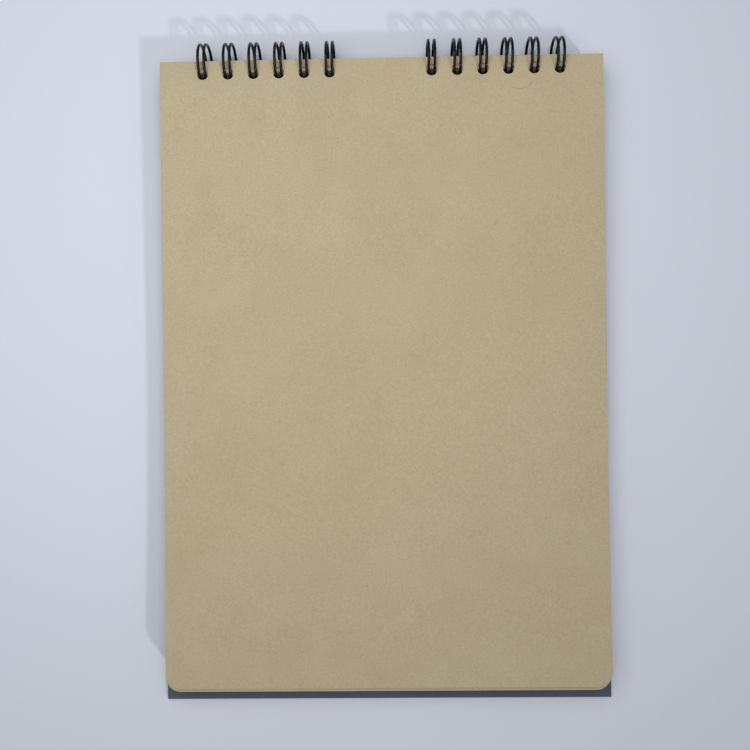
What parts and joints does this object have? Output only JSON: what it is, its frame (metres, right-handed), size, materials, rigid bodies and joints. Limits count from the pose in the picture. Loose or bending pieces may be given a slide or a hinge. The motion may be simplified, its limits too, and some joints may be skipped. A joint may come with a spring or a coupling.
{
  "type": "twin-loop wire-bound notebook",
  "caption": "Small notebook bound along its short top edge by two combs of black twin-loop wire, with a kraft front cover and a darker, larger back cover.",
  "frame": {"origin": "middle of the notebook's underside, on the surface that it rests on", "axes": "+Z out of the front cover, +Y from the foot towards the bound edge, +X to the right seen from the front"},
  "size_m": [0.151, 0.2222, 0.0134],
  "materials": {
    "kraft_card": "matt uncoated kraft card with fine fibres and specks",
    "kraft_paper": "matt uncoated kraft leaves",
    "slate_board": "matt slate-blue covered board",
    "black_wire": "smooth black nylon coating on steel wire"
  },
  "bodies": {
    "block": {"page_block": "kraft_paper", "left_wire_comb": "black_wire", "right_wire_comb": "black_wire"},
    "front_cover": {"front_cover": "kraft_card"},
    "back_cover": {"back_cover": "slate_board"}
  },
  "joints": [
    {"name": "front_cover_turn", "type": "hinge", "parent": "block", "child": "front_cover", "pos_m": [0, 0.10436, 0.00677], "axis": [-1, 0, 0], "range_deg": [0, 180]},
    {"name": "back_cover_turn", "type": "hinge", "parent": "block", "child": "back_cover", "pos_m": [0, 0.10436, 0.00677], "axis": [1, 0, 0], "range_deg": [0, 180]}
  ]
}
